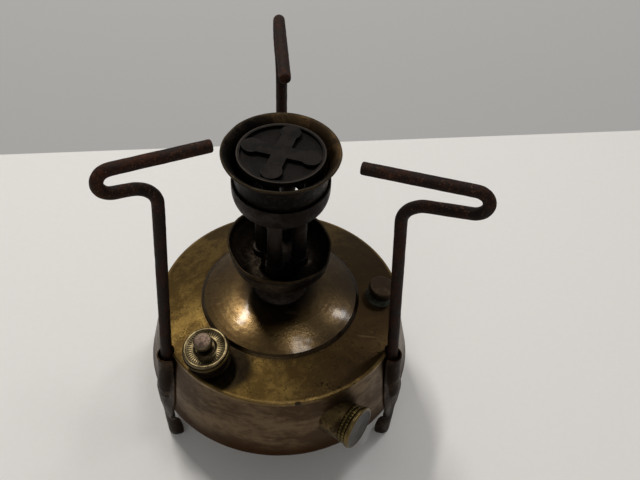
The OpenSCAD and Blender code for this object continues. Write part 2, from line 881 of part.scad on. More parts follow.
// Flat round knob with a bright edge and a shallow dimple
module pump_knob() {
    color("lightgoldenrodyellow")
        at_pump()
            translate([0, 0, knob_at])
                difference() {
                    rotate_extrude()
                        polygon(concat(
                            [[0, 0], [knob_r - 1, 0], [knob_r, 0.8]],
                            arc(knob_r - 1, knob_t - 1, 1, 0, 80, 4),
                            [[knob_r - 2.4, knob_t], [knob_r - 3, knob_t - 0.3], [3, knob_t - 0.3],
                             [0, knob_t - 0.9]]));
                    translate([0, 0, -1])
                        cylinder(r = pump_rod_r, h = 2.6);
                }
}

// Front view of a leg as a flat shape: x across it, y up from the table
module leg_outline() {
    polygon([[-waist_half_w, waist_z], [-leg_half_w, base_z + 4],
        [-(socket_r + 0.6), wall_top_z - 1], [socket_r + 0.6, wall_top_z - 1],
        [leg_half_w, base_z + 4], [waist_half_w, waist_z]]);
}

// Front view of the foot, with its rounded toe
module foot_outline() {
    toe = foot_half_w - 2;
    translate([-toe, 0])
        square([2 * toe, waist_z]);
    translate([-foot_half_w, toe])
        square([2 * foot_half_w, base_z + 4]);
    for (side = [-1, 1])
        translate([side * 2, toe])
            circle(r = toe);
}

// A flat shape stood up as a thick slab across the +x radius
module slab() {
    translate([foot_axis_r - 1, 0, 0])
        rotate([90, 0, 90])
            linear_extrude(height = 3 * socket_r)
                children();
}

// Pressed leg: a skin on the tank wall, the outer half of the rod's socket, and the foot channel
module leg() {
    taper_h = 14;
    floor_t = leg_t + seat_gap;
    color("rosybrown")
        difference() {
            union() {
                intersection() {
                    rotate_extrude()
                        polygon([[tank_r, waist_z - 1], [tank_r + leg_t, waist_z - 1],
                            [tank_r + leg_t, base_z], [wall_top_r + leg_t, wall_top_z],
                            [wall_top_r - 1, wall_top_z], [tank_r - 1, base_z], [tank_r, base_z]]);
                    slab()
                        leg_outline();
                }
                at_socket(0)
                    rotate_extrude()
                        polygon([[0, -floor_t - taper_h], [socket_r - 3.4, -floor_t - taper_h],
                            [socket_r, -floor_t], [socket_r, socket_depth - lip_h - floor_t],
                            [0, socket_depth - lip_h - floor_t]]);
                intersection() {
                    translate([foot_axis_r, 0, 0])
                        cylinder(r = foot_half_w, h = base_z + 3);
                    slab()
                        foot_outline();
                }
            }
            tank_envelope();
            at_socket(0)
                translate([0, 0, -seat_gap])
                    cylinder(r = socket_bore, h = socket_depth + 20);
            translate([foot_axis_r, 0, -1])
                cylinder(r = foot_half_w - leg_t, h = base_z + 1);
            translate([foot_axis_r - 3 * socket_r, -3 * socket_r, -1])
                cube([3 * socket_r, 6 * socket_r, base_z + 1]);
        }
}

// Steel rod in its own frame: stem up the z axis, hook towards +x, arm towards -x
module bent_rod(stem, reach, arm) {
    hook_r = hook_gap / 2;
    hook_x = reach - hook_r;
    hook_turn = 180 - socket_lean;
    weld = 0.1;
    union() {
        cylinder(r = rod_r, h = stem - rod_bend);
        translate([rod_bend, 0, stem - rod_bend])
            rotate([90, 0, 0])
                rotate([0, 0, 90])
                    rotate_extrude(angle = 90)
                        translate([rod_bend, 0])
                            circle(r = rod_r);
        translate([rod_bend, 0, stem])
            rotate([0, 90, 0])
                cylinder(r = rod_r, h = hook_x - rod_bend);
        translate([hook_x, 0, stem + hook_r])
            rotate([90, 0, 0])
                rotate([0, 0, -90])
                    rotate_extrude(angle = hook_turn - 1)
                        translate([hook_r, 0])
                            circle(r = rod_r);
        translate([hook_x, 0, stem + hook_r])
            rotate([0, -90 + socket_lean, 0])
                translate([hook_r, 0, 0]) {
                    sphere(r = rod_r + 0.02);
                    translate([0, 0, weld])
                        cylinder(r = rod_r, h = hook_x + arm);
                }
    }
}

module standing_rod(az, turn, stem, reach, arm) {
    color("#4a3428")
        at_socket(az)
            rotate([0, 0, turn])
                bent_rod(stem, reach, arm);
}

module leg_left() {
    rotate([0, 0, left_az])
        leg();
}

module leg_right() {
    rotate([0, 0, right_az])
        leg();
}

module leg_back() {
    rotate([0, 0, back_az])
        leg();
}

module rod_left() {
    standing_rod(left_az, left_turn, left_stem, left_reach, left_arm);
}

module rod_right() {
    standing_rod(right_az, right_turn, right_stem, right_reach, right_arm);
}

module rod_back() {
    standing_rod(back_az, back_turn, back_stem, back_reach, back_arm);
}

tank_body();
tank_top();
riser_tube();
neck_collar();
spirit_cup();
burner_washer();
burner_base();
for (i = [1 : tube_count])
    burner_tube(i);
jet_holder();
jet_nipple();
burner_bell();
burner_head();
flame_ring();
filler_neck();
filler_washer();
filler_cap();
air_washer();
air_screw();
plug_boss();
plug_washer();
tank_plug();
pump_tube();
pump_collar();
valve_body();
valve_pip();
valve_spring();
piston_plate();
leather_cup();
piston_nut();
pump_rod();
pump_gland();
pump_cap();
pump_knob();
leg_left();
leg_right();
leg_back();
rod_left();
rod_right();
rod_back();
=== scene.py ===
import math
import bmesh
import bpy
from mathutils import Matrix, Vector, noise


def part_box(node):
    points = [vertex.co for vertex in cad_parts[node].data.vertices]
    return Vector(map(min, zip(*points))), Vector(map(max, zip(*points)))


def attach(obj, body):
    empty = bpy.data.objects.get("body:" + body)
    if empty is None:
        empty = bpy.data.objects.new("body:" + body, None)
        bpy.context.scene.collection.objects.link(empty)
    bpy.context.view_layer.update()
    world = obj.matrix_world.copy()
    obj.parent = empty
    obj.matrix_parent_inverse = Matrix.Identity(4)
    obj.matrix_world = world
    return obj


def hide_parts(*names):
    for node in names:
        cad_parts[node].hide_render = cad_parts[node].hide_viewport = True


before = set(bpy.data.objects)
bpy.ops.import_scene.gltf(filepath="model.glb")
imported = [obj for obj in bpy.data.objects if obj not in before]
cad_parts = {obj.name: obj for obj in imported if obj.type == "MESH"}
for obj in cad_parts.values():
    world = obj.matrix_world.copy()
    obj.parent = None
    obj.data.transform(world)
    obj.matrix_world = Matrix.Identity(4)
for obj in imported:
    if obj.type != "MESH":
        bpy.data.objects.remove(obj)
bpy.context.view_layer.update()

# Camera where the photographer stood: close above the table, looking down on the tank's front. It is
# given by its spot, the picture's right and its heading.
CAMERA_SPOT = Vector((0, -0.32384, 0.48721))
CAMERA_RIGHT = Vector((0.9988, -0.0283, 0.0384)).normalized()
CAMERA_FORWARD = Vector((0.0474, 0.6828, -0.7291)).normalized()
camera_up = CAMERA_RIGHT.cross(CAMERA_FORWARD).normalized()
cam_data = bpy.data.cameras.new("photo_camera")
cam_data.sensor_width = 36
cam_data.lens = 46.52
cam = bpy.data.objects.new("photo_camera", cam_data)
bpy.context.scene.collection.objects.link(cam)
camera_axes = Matrix((CAMERA_RIGHT, camera_up, -CAMERA_FORWARD)).transposed()
cam.matrix_world = Matrix.Translation(CAMERA_SPOT) @ camera_axes.to_4x4()
bpy.context.scene.camera = cam
bpy.context.scene.view_settings.view_transform = "Standard"

# A white table top that ends behind the stove, and a pale wall farther back that glows faintly. The
# soft lamps stand where the highlights on the dome show them: a strip behind on the left, small ones on
# the right and overhead, and a broad faint one in front.
MM = 0.001


def rgb(red, green, blue):
    return (red, green, blue, 1)


class Sock:
    """A node's output that can be used in plain sums."""

    def __init__(self, finish, link):
        self.finish = finish
        self.link = link

    def maths(self, kind, *others):
        values = dict(enumerate((self,) + others))
        return self.finish.node("ShaderNodeMath", {"operation": kind}, values)

    def __add__(self, other):
        return self.maths("ADD", other)

    def __radd__(self, other):
        return self.maths("ADD", other)

    def __sub__(self, other):
        return self.maths("SUBTRACT", other)

    def __rsub__(self, other):
        return self.finish.node("ShaderNodeMath", {"operation": "SUBTRACT"}, {0: other, 1: self})

    def __mul__(self, other):
        return self.maths("MULTIPLY", other)

    def __rmul__(self, other):
        return self.maths("MULTIPLY", other)

    def __truediv__(self, other):
        return self.maths("DIVIDE", other)

    def __pow__(self, other):
        return self.maths("POWER", other)

    def absolute(self):
        return self.maths("ABSOLUTE")

    def most(self, other):
        return self.maths("MAXIMUM", other)

    def clamp(self):
        return self.maths("MINIMUM", 1).most(0)

    def fade(self, low, high):
        """0 below low and 1 above high, or the other way round."""
        return self.finish.node("ShaderNodeMapRange", {"interpolation_type": "SMOOTHSTEP"},
                                {0: self, 1: low, 2: high, 3: 0, 4: 1})


class Finish:
    """One material: any node by its type, and the places that its patterns read, in millimetres."""

    def __init__(self, name):
        self.material = bpy.data.materials.new(name)
        self.material.use_nodes = True
        self.tree = self.material.node_tree
        self.shader = self.tree.nodes["Principled BSDF"]
        self.place = self.node("ShaderNodeTexCoord", {}, {}, "Object")
        self.read_from(self.place)

    def node(self, kind, settings, values, out=0):
        made = self.tree.nodes.new(kind)
        for key, value in settings.items():
            setattr(made, key, value)
        for key, value in values.items():
            self.feed(made, key, value)
        return made if out is None else Sock(self, made.outputs[out])

    def feed(self, node, key, value):
        if isinstance(value, Sock):
            self.tree.links.new(value.link, node.inputs[key])
        else:
            node.inputs[key].default_value = value

    def read_from(self, place):
        parts = self.node("ShaderNodeSeparateXYZ", {}, {0: place}, None)
        self.x, self.y, self.z = [Sock(self, parts.outputs[i]) / MM for i in range(3)]

    def turn_to(self, where):
        """Read places from a part's own seat: its axis becomes z."""
        spot = tuple(where.to_translation())
        turn = tuple(where.to_euler())
        self.read_from(self.node("ShaderNodeMapping", {"vector_type": "TEXTURE"}, {
            "Vector": self.place, "Location": spot, "Rotation": turn}))

    def radius(self):
        return (self.x * self.x + self.y * self.y) ** 0.5

    def ticks(self, count):
        """1 on evenly spaced radial strokes and 0 between them."""
        angle = self.node("ShaderNodeMath", {"operation": "ARCTAN2"}, {0: self.y, 1: self.x})
        return (angle * count).maths("COSINE").fade(0, 0.5)

    def noise(self, size, detail, rough=0.55, warp=0.0, stretch=None):
        """Soft random patches, with their size in millimetres."""
        spot = self.place
        if stretch:
            spot = self.node("ShaderNodeMapping", {}, {"Vector": spot, "Scale": stretch})
        return self.node("ShaderNodeTexNoise", {}, {
            "Vector": spot, "Scale": 1 / (size * MM), "Detail": detail, "Roughness": rough,
            "Distortion": warp})

    def mix(self, mask, low, high):
        """The first colour where the mask is 0 and the second where it is 1."""
        made = self.node("ShaderNodeMix", {"data_type": "RGBA"}, {0: mask, 6: low, 7: high}, None)
        return Sock(self, made.outputs[2])

    def done(self, color, rough, metallic=1.0, bump=None, height=0.1, coat=0.0):
        """Join the shader's sockets. The bump's height is in millimetres."""
        self.feed(self.shader, "Base Color", color)
        self.feed(self.shader, "Roughness", rough)
        self.feed(self.shader, "Metallic", metallic)
        self.feed(self.shader, "Coat Weight", coat)
        if bump is not None:
            bent = self.node("ShaderNodeBump", {}, {
                "Strength": 1.0, "Distance": height * MM, "Height": bump}, "Normal")
            self.feed(self.shader, "Normal", bent)
        return self.material


def plain_sheet(name, corners, color, glow=0.0):
    made = bmesh.new()
    made.faces.new([made.verts.new(c) for c in corners])
    mesh = bpy.data.meshes.new(name)
    made.to_mesh(mesh)
    made.free()
    sheet = bpy.data.objects.new(name, mesh)
    bpy.context.scene.collection.objects.link(sheet)
    paint = Finish(name)
    mottled = [0.96 * c for c in color[:3]] + [1]
    paint.done(paint.mix(paint.noise(4, 3), color, mottled), 0.75, 0.0)
    paint.shader.inputs["Emission Color"].default_value = color
    paint.shader.inputs["Emission Strength"].default_value = glow
    mesh.materials.append(paint.material)


TABLE_SIDE = 3
TABLE_EDGE_LEFT = (-TABLE_SIDE, 0.025, 0)
TABLE_EDGE_RIGHT = (TABLE_SIDE, 0.477, 0)
plain_sheet("table", ((-TABLE_SIDE, -TABLE_SIDE, 0), (TABLE_SIDE, -TABLE_SIDE, 0),
                      TABLE_EDGE_RIGHT, TABLE_EDGE_LEFT), rgb(0.78, 0.765, 0.74))

BACK_WALL_Y = 1.15
BACK_WALL_SLANT = 0.058
BACK_WALL_FOOT = -1.3
BACK_WALL_TOP = 1.9
wall_corners = ((TABLE_SIDE, BACK_WALL_FOOT), (-TABLE_SIDE, BACK_WALL_FOOT),
                (-TABLE_SIDE, BACK_WALL_TOP), (TABLE_SIDE, BACK_WALL_TOP))
wall_points = [(x, BACK_WALL_Y + BACK_WALL_SLANT * (x + TABLE_SIDE), z) for x, z in wall_corners]
plain_sheet("backdrop", wall_points, rgb(0.72, 0.71, 0.69), 0.26)

LAMP_TARGET = Vector((0, 0, 0.09))


def soft_lamp(name, spot, size, watts, roll=0, color=(1, 1, 1)):
    """A rectangular lamp that points at the stove, rolled about its own beam."""
    data = bpy.data.lights.new(name, "AREA")
    data.shape = "RECTANGLE"
    data.size, data.size_y = size
    data.energy = watts
    data.color = color
    lamp = bpy.data.objects.new(name, data)
    bpy.context.scene.collection.objects.link(lamp)
    lamp.location = spot
    aim = (LAMP_TARGET - Vector(spot)).to_track_quat("-Z", "Y")
    lamp.rotation_euler = (aim.to_matrix() @ Matrix.Rotation(math.radians(roll), 3, "Z")).to_euler()


soft_lamp("strip_lamp", (-0.43, 0.6, 1.45), (0.10, 0.42), 11.5, -65, (1, 0.97, 0.93))
soft_lamp("side_lamp", (0.8, 0.63, 1.34), (0.12, 0.20), 2.6, -30)
soft_lamp("overhead_lamp", (0.3, 0.02, 1.6), (0.25, 0.25), 3.2)
soft_lamp("front_fill", (-0.3, -1.3, 1.3), (1.2, 1.2), 3)

world = bpy.data.worlds.new("room")
world.use_nodes = True
bpy.context.scene.world = world
world.node_tree.nodes["Background"].inputs["Color"].default_value = rgb(0.80, 0.79, 0.78)
world.node_tree.nodes["Background"].inputs["Strength"].default_value = 0.26

# Tank wall and bottom, drawn from one sheet of brass. The wall has gone grey-brown and still shines,
# with rubbed streaks round it, black pinpricks, and a band of painted shade above the bottom edge.
WALL_BROWN = rgb(0.062, 0.037, 0.020)
WALL_RUBBED = rgb(0.128, 0.088, 0.050)
WALL_FOOT_SHADE = rgb(0.034, 0.014, 0.003)
WALL_UNDER_RIM = rgb(0.093, 0.056, 0.019)
WALL_SPECKS = rgb(0.011, 0.007, 0.005)


def box_height(node):
    """The heights, in millimetres, between which a solid lies."""
    low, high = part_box(node)
    return low[2] / MM, high[2] / MM


def dress(finish, *nodes):
    for name in nodes:
        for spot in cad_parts[name].material_slots:
            spot.material = finish


def wall_finish():
    wall = Finish("tank_wall_brass")
    foot, rim = box_height("tank_body")
    share = (wall.z - foot) / (rim - foot)
    broad = wall.noise(35, 5, 0.6, 0.4, (1, 1, 2.2))
    fine = wall.noise(6, 6, 0.62, 0.2, (1, 1, 2.5))
    speck = wall.noise(1.1, 3, 0.6)
    pinprick = wall.noise(9, 2, 0.4).fade(0.73, 0.76)
    worn = (broad * 0.65 + fine * 0.35).fade(0.42, 0.6)
    # Painted shade: the wall is darker and browner towards its bottom edge.
    foot_shade = share.fade(0.36, 0.06) * (0.85 + 0.5 * fine)
    dirt = (fine * 0.5 + speck * 0.5).fade(0.56, 0.66)
    color = wall.mix(worn, WALL_BROWN, WALL_RUBBED)
    color = wall.mix(foot_shade.clamp(), color, WALL_FOOT_SHADE)
    color = wall.mix(share.fade(0.9, 1.0) * 0.5, color, WALL_UNDER_RIM)
    color = wall.mix((dirt * 0.35 + pinprick).clamp(), color, WALL_SPECKS)
    rough = 0.33 + 0.12 * (1 - worn) + 0.12 * foot_shade + 0.25 * pinprick + 0.06 * speck
    return wall.done(color, rough, 1.0, speck * 0.3 + fine * 0.7, 0.1)


dress(wall_finish(), "tank_body")

# Tank top, stamped from sheet and folded over the wall. Its sloping ring is golden brown and mottled,
# the step round the dome is painted darker as shade, and the dome is a smoother, darker brown.
SLOPE_BROWN = rgb(0.040, 0.024, 0.007)
SLOPE_GOLD = rgb(0.098, 0.062, 0.017)
SLOPE_SHADED = rgb(0.021, 0.0125, 0.006)
DOME_BROWN = rgb(0.040, 0.023, 0.008)
DOME_RUBBED = rgb(0.082, 0.052, 0.020)
DOME_SHADED = rgb(0.021, 0.0145, 0.0085)
STEP_SHADE = rgb(0.022, 0.013, 0.006)
FILLER_CAST_SHADOW = rgb(0.004, 0.003, 0.002)
NECK_SOOT = rgb(0.006, 0.005, 0.004)
LIP_HIGHLIGHT = rgb(0.223, 0.143, 0.050)
SCRATCH_GOLD = rgb(0.15, 0.10, 0.05)
TOP_DIRT = rgb(0.014, 0.009, 0.004)
STEP_R = 48.3
FILLER_SHADOW_SPOT = (-30, -52)
NICK_SPOT = (10.2, -74.2)


def top_finish():
    top = Finish("tank_top_brass")
    r = top.radius()
    broad = top.noise(28, 5, 0.62, 0.8)
    fine = top.noise(5, 6, 0.68, 0.3)
    speck = top.noise(1.1, 3, 0.6)
    on_slope = r.fade(46.6, 49)
    # Painted shade: the sloping ring and the dome are darker on the right, away from the light.
    shaded_right = (top.x - top.y * 0.2).fade(-5, 62)
    worn = (broad * 0.55 + fine * 0.45).fade(0.42, 0.6)
    slope_color = top.mix(worn, SLOPE_BROWN, SLOPE_GOLD)
    slope_color = top.mix(shaded_right * (0.7 + 0.4 * fine), slope_color, SLOPE_SHADED)
    dome_color = top.mix(worn, DOME_BROWN, DOME_RUBBED)
    dome_color = top.mix(shaded_right * 0.8, dome_color, DOME_SHADED)
    color = top.mix(on_slope, dome_color, slope_color)
    # Painted shade in the step round the dome.
    in_step = (1 - (r - STEP_R).absolute() / 2.4).clamp()
    color = top.mix((in_step * (0.3 + 0.4 * fine)).clamp(), color, STEP_SHADE)
    # Painted cast shadow of the filler cap, dark on the slope below and to the right of it.
    from_shadow_spot = ((top.x - FILLER_SHADOW_SPOT[0]) ** 2 + (top.y - FILLER_SHADOW_SPOT[1]) ** 2) ** 0.5
    filler_shadow = from_shadow_spot.fade(19, 11) * (0.7 + 0.5 * fine) * on_slope
    color = top.mix(filler_shadow.clamp(), color, FILLER_CAST_SHADOW)
    soot = (r.fade(31, 15) * (0.6 + 0.7 * fine)).clamp()
    color = top.mix(soot, color, NECK_SOOT)
    # Painted highlight along the rolled lip, stronger where the brass is worn.
    color = top.mix(r.fade(72.6, 74.2) * worn.most(0.45), color, LIP_HIGHLIGHT)
    scratch = top.noise(2.4, 2, 0.4, 0.5, (0.12, 1, 1)).fade(0.68, 0.74)
    color = top.mix(scratch * (0.3 - 0.15 * on_slope), color, SCRATCH_GOLD)
    dirt = (fine * 0.5 + speck * 0.5).fade(0.53, 0.64)
    nick = ((top.x - NICK_SPOT[0]) ** 2 * 0.3 + (top.y - NICK_SPOT[1]) ** 2).fade(1.6, 0.5)
    color = top.mix((dirt * 0.5 + nick * 0.9).clamp(), color, TOP_DIRT)
    rough = 0.25 + 0.1 * on_slope + 0.08 * (1 - worn) + 0.25 * dirt * on_slope + 0.3 * soot
    top.shader.inputs["Coat Roughness"].default_value = 0.11
    coat = 0.22 * (1 - on_slope) * (1 - soot)
    return top.done(color, rough, 1.0, speck * 0.25 + fine * 0.75, 0.1, coat)


dress(top_finish(), "tank_top")


# Fittings, turned from brass and soldered or screwed into the tank: the riser, the filler's neck, the
# plug and its boss, the pump's tube and collar. They are dark brown, and the plug's boss is greenish.
def aged_finish(name, bare, brown, dark, shine, size=30, metallic=1.0):
    """A surface that has aged: rubbed patches on a brown ground, with dark specks."""
    metal = Finish(name)
    broad = metal.noise(size, 5, 0.6, 0.6)
    fine = metal.noise(size / 6, 6, 0.65)
    speck = metal.noise(1.2, 3, 0.6)
    worn = (broad * 0.6 + fine * 0.4).fade(0.44, 0.6)
    dirt = (fine * 0.55 + speck * 0.45).fade(0.52, 0.64) * 0.5
    color = metal.mix(dirt, metal.mix(worn, brown, bare), dark)
    rough = shine + 0.18 * (1 - worn) + 0.25 * dirt + 0.06 * speck
    return metal.done(color, rough, metallic, speck * 0.5 + fine * 0.5, 0.12)


dark_metal = aged_finish("dark_brass", rgb(0.053, 0.035, 0.021), rgb(0.028, 0.019, 0.012),
                         rgb(0.009, 0.006, 0.004), 0.4)
dress(dark_metal, "riser_tube", "filler_neck", "tank_plug", "pump_tube", "valve_body", "jet_nipple")
collar_metal = aged_finish("pump_collar_brass", rgb(0.12, 0.082, 0.034), rgb(0.032, 0.020, 0.009),
                           rgb(0.006, 0.004, 0.002), 0.3, 12)
dress(collar_metal, "pump_collar")
boss_metal = aged_finish("boss_brass", rgb(0.105, 0.115, 0.093), rgb(0.030, 0.028, 0.020),
                         rgb(0.008, 0.008, 0.006), 0.5)
dress(boss_metal, "plug_boss")

# Pieces inside the tank and the pump, and the washers: plain steel wire, nuts and plates, and seals cut
# from oiled leather.
steel = aged_finish("plain_steel", rgb(0.310, 0.310, 0.310), rgb(0.186, 0.186, 0.186),
                    rgb(0.062, 0.062, 0.062), 0.35)
dress(steel, "pump_rod", "piston_nut", "piston_plate", "valve_spring", "burner_washer")
hide = aged_finish("oiled_leather", rgb(0.056, 0.031, 0.019), rgb(0.037, 0.022, 0.012),
                   rgb(0.012, 0.009, 0.006), 0.6, metallic=0.0)
dress(hide, "filler_washer", "air_washer", "plug_washer", "pump_gland", "leather_cup", "valve_pip")

# Legs, each pressed from one brass sheet: rolled round the rod above, spread flat on the wall at its
# sides, pinched at the rod's foot, then drawn in to a channel with a rounded toe.
TANK_R = 82.5
TANK_EDGE_Z = 40.6
WALL_TOP_R = 73.8
WALL_TOP_Z = 84.4
LEG_SHEET = 1.1
LEG_OFF_WALL = 0.15
LEG_ARC_SHARE = 0.64
LEG_MEETS_WALL_Z = (21, 27)
SOLE_Z = 0.9
LEG_HEIGHTS = (SOLE_Z, 1.3, 1.8, 2.6, 4, 6.5, 10, 14, 18, 21, 24, 27, 30, 33, 36, 38.5, 41, 43, 45, 46.5,
               48, 51, 56, 62, 68, 74, 80, 83, 84)
LEG_REACH = ((0, 83.0), (4, 83.4), (20, 84.0), (36, 84.2), (43, 83.6), (48, 85.0), (84, 82.9))
LEG_ARCH = ((0, 3.4), (1.4, 5.2), (4, 6.5), (12, 6.8), (22, 5.8), (30, 6.0), (36, 5.8), (43, 4.5),
            (48, 6.0), (84, 6.0))
LEG_WIDTH = ((0, 3.5), (1.4, 5.3), (4, 6.6), (12, 6.9), (21, 5.9), (25, 6.5), (41, 12.0), (50, 12.6),
             (62, 10.2), (76, 7.4), (84, 6.5))


def eased(low, high, at):
    """0 at low and 1 at high, with a soft start and end."""
    t = min(1.0, max(0.0, (at - low) / (high - low)))
    return t * t * (3 - 2 * t)


def from_table(rows, place):
    """Read a size off a short list of (place, size) pairs, lowest place first."""
    if place <= rows[0][0]:
        return rows[0][1]
    for (low, first), (high, second) in zip(rows, rows[1:]):
        if place <= high:
            return first + (second - first) * eased(low, high, place)
    return rows[-1][1]


def wall_radius(z):
    if z <= TANK_EDGE_Z:
        return TANK_R
    return TANK_R - (z - TANK_EDGE_Z) * (TANK_R - WALL_TOP_R) / (WALL_TOP_Z - TANK_EDGE_Z)


def leg_section(z, count=25):
    """Points across the leg's outside at one height, as (across, out from the tank's axis)."""
    reach, arch, width = (from_table(rows, z) for rows in (LEG_REACH, LEG_ARCH, LEG_WIDTH))
    center = reach - arch
    laid = eased(*LEG_MEETS_WALL_Z, z)
    row = []
    for i in range(count):
        u = 2 * i / (count - 1) - 1
        if abs(u) <= LEG_ARC_SHARE:
            angle = math.radians(90 * abs(u) / LEG_ARC_SHARE)
            across = arch * math.sin(angle)
            out = center + arch * math.cos(angle)
        else:
            across = arch + (width - arch) * (abs(u) - LEG_ARC_SHARE) / (1 - LEG_ARC_SHARE)
            out = center
        on_wall = math.sqrt(wall_radius(z) ** 2 - across ** 2) + LEG_SHEET + LEG_OFF_WALL
        out = max(out, center + (on_wall - center) * laid)
        row.append((math.copysign(across, u), out))
    return row


def keep(name, made, finish, body):
    """Turn a finished bmesh into a piece that rides on one body."""
    mesh = bpy.data.meshes.new(name)
    made.to_mesh(mesh)
    made.free()
    for face in mesh.polygons:
        face.use_smooth = True
    mesh.materials.append(finish)
    piece = bpy.data.objects.new(name, mesh)
    bpy.context.scene.collection.objects.link(piece)
    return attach(piece, body) or piece


def pressed_leg(name, azimuth, body, finish):
    made = bmesh.new()
    rows = []
    for z in LEG_HEIGHTS:
        verts = [made.verts.new((out * MM, across * MM, z * MM)) for across, out in leg_section(z)]
        rows.append([made.edges.new(pair) for pair in zip(verts, verts[1:])])
    for low, high in zip(rows, rows[1:]):
        bmesh.ops.bridge_loops(made, edges=low + high)
    bmesh.ops.recalc_face_normals(made, faces=made.faces)
    made.faces.ensure_lookup_table()
    middle = made.faces[len(made.faces) // 2]
    if middle.normal.x < 0:
        bmesh.ops.reverse_faces(made, faces=made.faces)
    bmesh.ops.rotate(made, verts=made.verts, cent=(0, 0, 0),
                     matrix=Matrix.Rotation(math.radians(azimuth), 3, "Z"))
    leg = keep(name, made, finish, body)
    sheet = leg.modifiers.new("sheet", "SOLIDIFY")
    sheet.thickness = LEG_SHEET * MM
    sheet.offset = -1
    smooth = leg.modifiers.new("press", "SUBSURF")
    smooth.levels = smooth.render_levels = 1
    return leg


leg_brass = aged_finish("leg_brass", rgb(0.042, 0.024, 0.012), rgb(0.014, 0.0072, 0.003),
                        rgb(0.004, 0.0025, 0.0015), 0.4, 16)
for side, azimuth in (("left", 210), ("right", 330), ("back", 90)):
    leg = pressed_leg("pressed_leg_" + side, azimuth, "stove", leg_brass)
    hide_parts("leg_" + side)


# Pump cap, turned brass with two knurled ridges, green and dark in the groove between them. It screws
# onto the pump's collar, and the pump rod slides through the hole in its face.
def seat(azimuth, spot, tilt):
    """Where a part sits: its own z axis tilted from upright, then turned round the tank's axis."""
    return (Matrix.Rotation(math.radians(azimuth), 4, "Z") @ Matrix.Translation(Vector(spot) * MM)
            @ Matrix.Rotation(math.radians(tilt), 4, "Y"))


PUMP_SEAT = seat(-36.2, (0, -35.6, 58.6), 85.6)
CAP_FOOT = 75.45
CAP_END = 79.85
CAP_FACE = 0.75
CAP_BORE_R = 9.6
CAP_ROD_HOLE_R = 2.5
CAP_RIDGES = ((11.4, 0.05), (11.85, 0.25), (12, 0.55), (12, 1.55), (11.8, 1.8), (11.3, 2.0), (11.3, 2.4),
              (11.8, 2.6), (12, 2.85), (12, 3.85), (11.85, 4.2), (11.4, 4.38))
KNURLS = 36
KNURL_FOOT_R = 11.6
KNURL_DEPTH = 0.035
CRISP_ANGLE = 38
CAP_BROWN = rgb(0.060, 0.042, 0.014)
CAP_GOLD = rgb(0.15, 0.107, 0.036)
CAP_GROOVE = rgb(0.016, 0.016, 0.008)


def spun(profile, steps=96):
    """Spin a closed outline of (radius, height) round the z axis."""
    made = bmesh.new()
    verts = [made.verts.new((r * MM, 0, z * MM)) for r, z in profile]
    edges = [made.edges.new((a, b)) for a, b in zip(verts, verts[1:] + verts[:1])]
    bmesh.ops.spin(made, geom=verts + edges, cent=(0, 0, 0), axis=(0, 0, 1), angle=math.tau, steps=steps,
                   dvec=(0, 0, 0), use_merge=True)
    bmesh.ops.remove_doubles(made, verts=made.verts, dist=0.002 * MM)
    bmesh.ops.recalc_face_normals(made, faces=made.faces)
    return made


def seated(name, made, place, finish, body):
    """Put a turned part on its seat, with a crisp line wherever its outline turns sharply."""
    bmesh.ops.transform(made, matrix=place, verts=made.verts)
    for edge in made.edges:
        edge.smooth = edge.calc_face_angle(0) < math.radians(CRISP_ANGLE)
    return keep(name, made, finish, body)


def knurled_cap():
    profile = [(CAP_BORE_R, CAP_FOOT)]
    profile += [(r, CAP_FOOT + h) for r, h in CAP_RIDGES]
    profile += [(CAP_ROD_HOLE_R, CAP_END - 0.02), (CAP_ROD_HOLE_R, CAP_END - CAP_FACE),
                (CAP_BORE_R, CAP_END - CAP_FACE)]
    made = spun(profile, 4 * KNURLS)
    for vert in made.verts:
        x, y, z = vert.co / MM
        turn = math.atan2(y, x) * KNURLS
        if math.hypot(x, y) > KNURL_FOOT_R and math.cos(turn) > 0.5:
            vert.co = Vector((x * (1 - KNURL_DEPTH), y * (1 - KNURL_DEPTH), z)) * MM
    return made


def pump_cap_finish():
    metal = Finish("pump_cap_brass")
    metal.turn_to(PUMP_SEAT)
    deep = metal.radius().fade(11.9, 11.5)
    fine = metal.noise(2.5, 5, 0.65)
    worn = metal.noise(7, 4, 0.6).fade(0.4, 0.6)
    color = metal.mix(worn, CAP_BROWN, CAP_GOLD)
    color = metal.mix(deep * (0.5 + 0.6 * fine), color, CAP_GROOVE)
    return metal.done(color, 0.32 + 0.2 * deep + 0.1 * fine, 1.0, fine, 0.08)


cap = seated("turned_pump_cap", knurled_cap(), PUMP_SEAT, pump_cap_finish(), "pump_end")
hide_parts("pump_cap")

# Pump knob, a flat disc of turned brass on the end of the pump rod. Its face is brown-grey and a little
# sunk, and its rounded edge is rubbed bright by fingers.
KNOB_PROFILE = ((0, 81.75), (2.4, 81.75), (2.4, 80.17), (12.1, 80.17), (12.6, 80.35), (12.9, 80.75),
                (13, 81.2), (13, 82.2), (12.88, 82.75), (12.5, 83.15), (11.9, 83.33), (11.1, 83.3),
                (10.6, 83.1), (10.2, 83.04), (3.2, 83.02), (1.8, 82.8), (0, 82.6))
KNOB_BROWN = rgb(0.024, 0.020, 0.016)
KNOB_GREY = rgb(0.052, 0.045, 0.036)
KNOB_EDGE = rgb(0.17, 0.12, 0.045)
KNOB_DIRT = rgb(0.016, 0.011, 0.007)


def knob_finish():
    metal = Finish("knob_brass")
    metal.turn_to(PUMP_SEAT)
    edge = metal.radius().fade(11.2, 12.4)
    fine = metal.noise(3, 5, 0.65)
    worn = metal.noise(9, 4, 0.6, 0.4).fade(0.42, 0.6)
    color = metal.mix(worn, KNOB_BROWN, KNOB_GREY)
    color = metal.mix(edge * (0.45 + 0.6 * fine), color, KNOB_EDGE)
    color = metal.mix(fine.fade(0.56, 0.68) * 0.5, color, KNOB_DIRT)
    return metal.done(color, 0.34 - 0.08 * edge + 0.12 * fine, 1.0, fine, 0.07)


knob = seated("turned_knob", spun(KNOB_PROFILE), PUMP_SEAT, knob_finish(), "plunger")
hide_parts("pump_knob")

